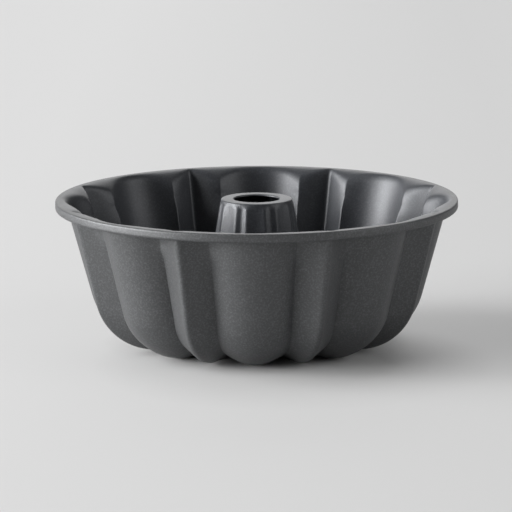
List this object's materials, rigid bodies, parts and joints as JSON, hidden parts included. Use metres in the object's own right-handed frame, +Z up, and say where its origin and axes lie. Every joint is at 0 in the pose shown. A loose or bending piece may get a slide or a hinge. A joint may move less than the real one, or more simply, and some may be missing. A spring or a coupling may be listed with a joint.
{
  "type": "fluted tube pan",
  "caption": "Round ring-cake pan with a fluted, drafted wall of round lobes and pointed flutes, a rolled rim and an open fluted centre tube.",
  "frame": {"origin": "centre of the base, on the surface that the pan stands on", "axes": "+Z up along the pan's axis; a round lobe faces -Y, the front of the picture"},
  "size_m": [0.26, 0.26, 0.095],
  "materials": {
    "coated_steel": "matte, finely speckled dark grey non-stick coat on steel sheet",
    "wire_steel": "plain drawn steel wire"
  },
  "bodies": {
    "root": {"fluted_shell": "coated_steel", "centre_tube": "coated_steel", "rim_wire": "wire_steel"}
  },
  "joints": []
}
